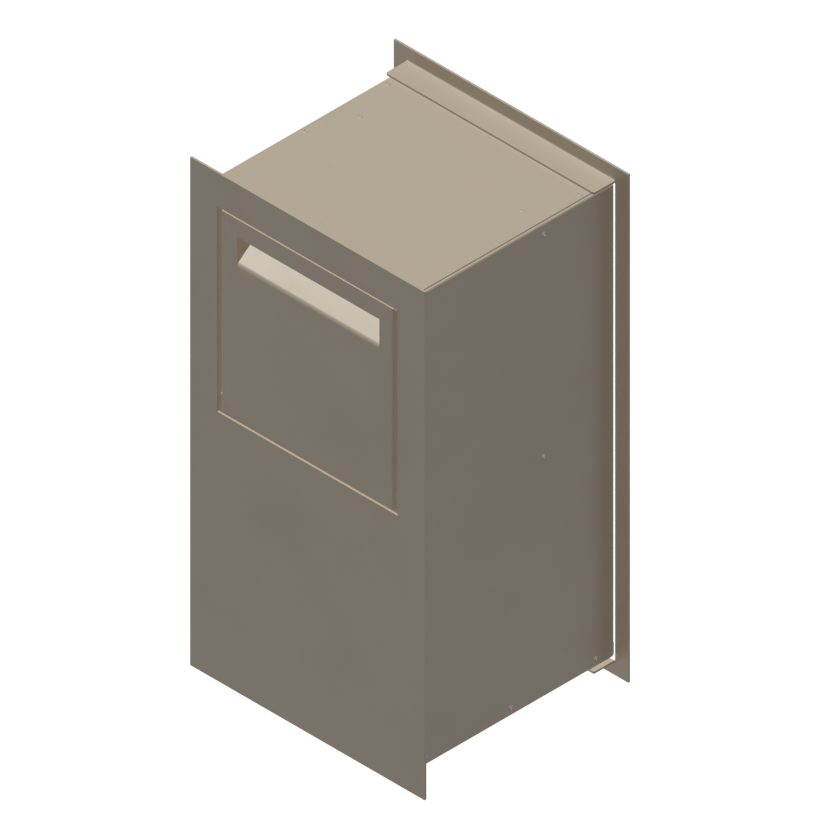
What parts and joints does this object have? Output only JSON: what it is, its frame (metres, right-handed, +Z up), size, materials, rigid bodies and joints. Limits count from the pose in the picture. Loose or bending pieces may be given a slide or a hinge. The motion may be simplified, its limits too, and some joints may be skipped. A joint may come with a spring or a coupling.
{
  "type": "book drop box",
  "caption": "Through-wall book drop box of painted sheet steel: a flanged front plate with a tip-out hopper door, a riveted body, a rear collection door and a sliding trim frame.",
  "frame": {"origin": "centre of the whole object's box, on the level of the two plates' lower edges", "axes": "+X to the right as seen from the street, +Y from the front plate to the rear door, +Z up"},
  "size_m": [0.436, 0.4, 0.818],
  "materials": {
    "front_paint": "smooth satin powder coat, beige taupe",
    "body_paint": "smooth satin powder coat, beige taupe",
    "black_paint": "matt black",
    "rubber": "matt black",
    "nylon": "natural nylon",
    "chrome": "polished plating",
    "zinc_steel": "zinc-plated"
  },
  "bodies": {
    "box": {"front_plate": "front_paint", "left_side_panel": "body_paint", "right_side_panel": "body_paint", "top_panel": "body_paint", "bottom_tray": "body_paint", "baffle": "body_paint", "rain_lip": "body_paint", "lip_gasket": "rubber", "stop_pads": "rubber", "left_hinge_bracket": "body_paint", "right_hinge_bracket": "body_paint", "hinge_rod": "zinc_steel", "rod_clips": "zinc_steel", "front_studs": "zinc_steel", "front_nuts": "zinc_steel", "lock_strike": "body_paint", "strike_rivets": "zinc_steel", "rear_hinge_fixed_leaf": "zinc_steel", "rear_hinge_pin": "zinc_steel", "rear_hinge_frame_rivets": "zinc_steel", "top_rivets": "body_paint", "side_rivets": "body_paint"},
    "hopper": {"hopper_door": "front_paint", "left_wing": "body_paint", "right_wing": "body_paint", "hopper_tray": "body_paint", "counterweight": "black_paint", "counterweight_screws": "zinc_steel", "pivot_bushes": "nylon", "wing_rivets": "zinc_steel", "tray_rivets": "zinc_steel"},
    "rear_door_leaf": {"rear_door": "body_paint", "rear_hinge_moving_leaf": "zinc_steel", "rear_hinge_door_rivets": "zinc_steel", "door_pull": "zinc_steel", "pull_rivets": "zinc_steel", "lock_housing": "chrome", "lock_nut": "zinc_steel"},
    "cam_lock": {"lock_plug": "chrome", "lock_cam": "zinc_steel", "cam_nut": "zinc_steel"},
    "trim": {"trim_frame": "front_paint"}
  },
  "joints": [
    {"name": "hopper_tilt", "type": "hinge", "parent": "box", "child": "hopper", "pos_m": [0, -0.186, 0.45045], "axis": [1, 0, 0], "range_deg": [0, 45]},
    {"name": "rear_door_swing", "type": "hinge", "parent": "box", "child": "rear_door_leaf", "pos_m": [0.16425, 0.1833, 0.411], "axis": [0, 0, -1], "range_deg": [0, 100]},
    {"name": "cam_turn", "type": "hinge", "parent": "rear_door_leaf", "child": "cam_lock", "pos_m": [-0.14, 0.1723, 0.4], "axis": [0, -1, 0], "range_deg": [0, 90]},
    {"name": "trim_slide", "type": "slide", "parent": "box", "child": "trim", "axis": [0, 1, 0], "range_m": [-0.006, 0.03]}
  ]
}
